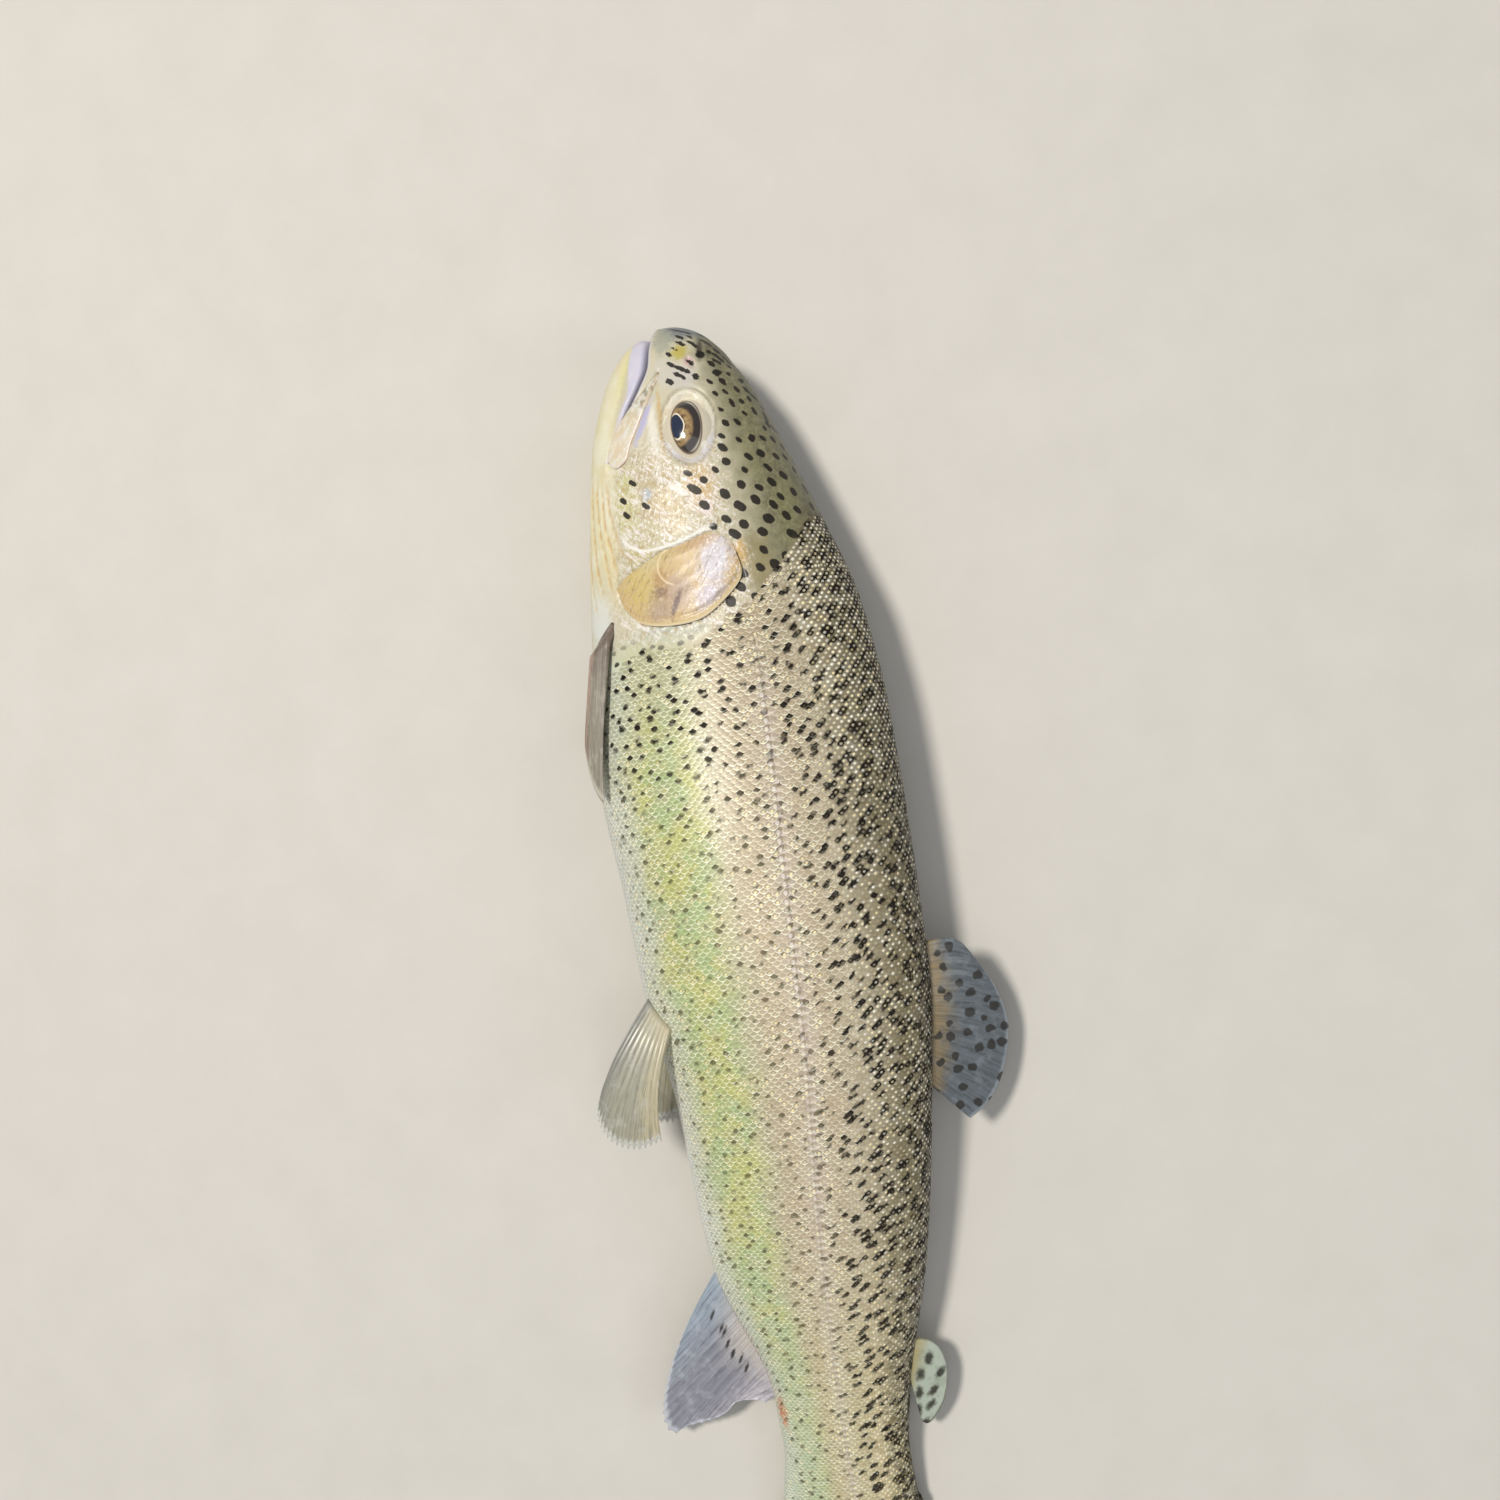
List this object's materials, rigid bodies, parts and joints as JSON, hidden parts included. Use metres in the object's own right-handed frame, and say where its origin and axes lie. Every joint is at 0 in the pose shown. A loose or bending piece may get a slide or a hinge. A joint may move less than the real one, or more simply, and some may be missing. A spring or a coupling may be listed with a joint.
{
  "type": "rainbow_trout",
  "caption": "Life-size rainbow trout lying on its right flank, olive spotted back, pink flank band, pale belly, mouth a little open, one orange smear by the anal fin.",
  "frame": {"origin": "middle of the box round the whole fish, on the floor under it", "axes": "head towards -X, back towards +Y, left flank up towards +Z, metres"},
  "size_m": [0.339, 0.0954, 0.0415],
  "materials": {
    "skin": "wet scaled skin, olive gold back with black spots, pink silver flank, pale belly",
    "face_bone": "smooth golden brown and pink silver skin over bone",
    "fin": "thin grey and cream fin with rays",
    "eye": "wet dark pupil in a gold and brown iris"
  },
  "bodies": {
    "root": {"head": "skin", "lower_jaw": "skin", "trunk": "skin", "tail_stem": "skin", "gill_cover_left": "face_bone", "gill_cover_right": "face_bone", "maxilla_left": "face_bone", "maxilla_right": "face_bone", "eye_left": "eye", "eye_right": "eye", "dorsal_fin": "fin", "adipose_fin": "fin", "caudal_fin": "fin", "anal_fin": "fin", "pelvic_fin_left": "fin", "pelvic_fin_right": "fin", "pectoral_fin_left": "fin", "pectoral_fin_right": "fin"}
  },
  "joints": []
}
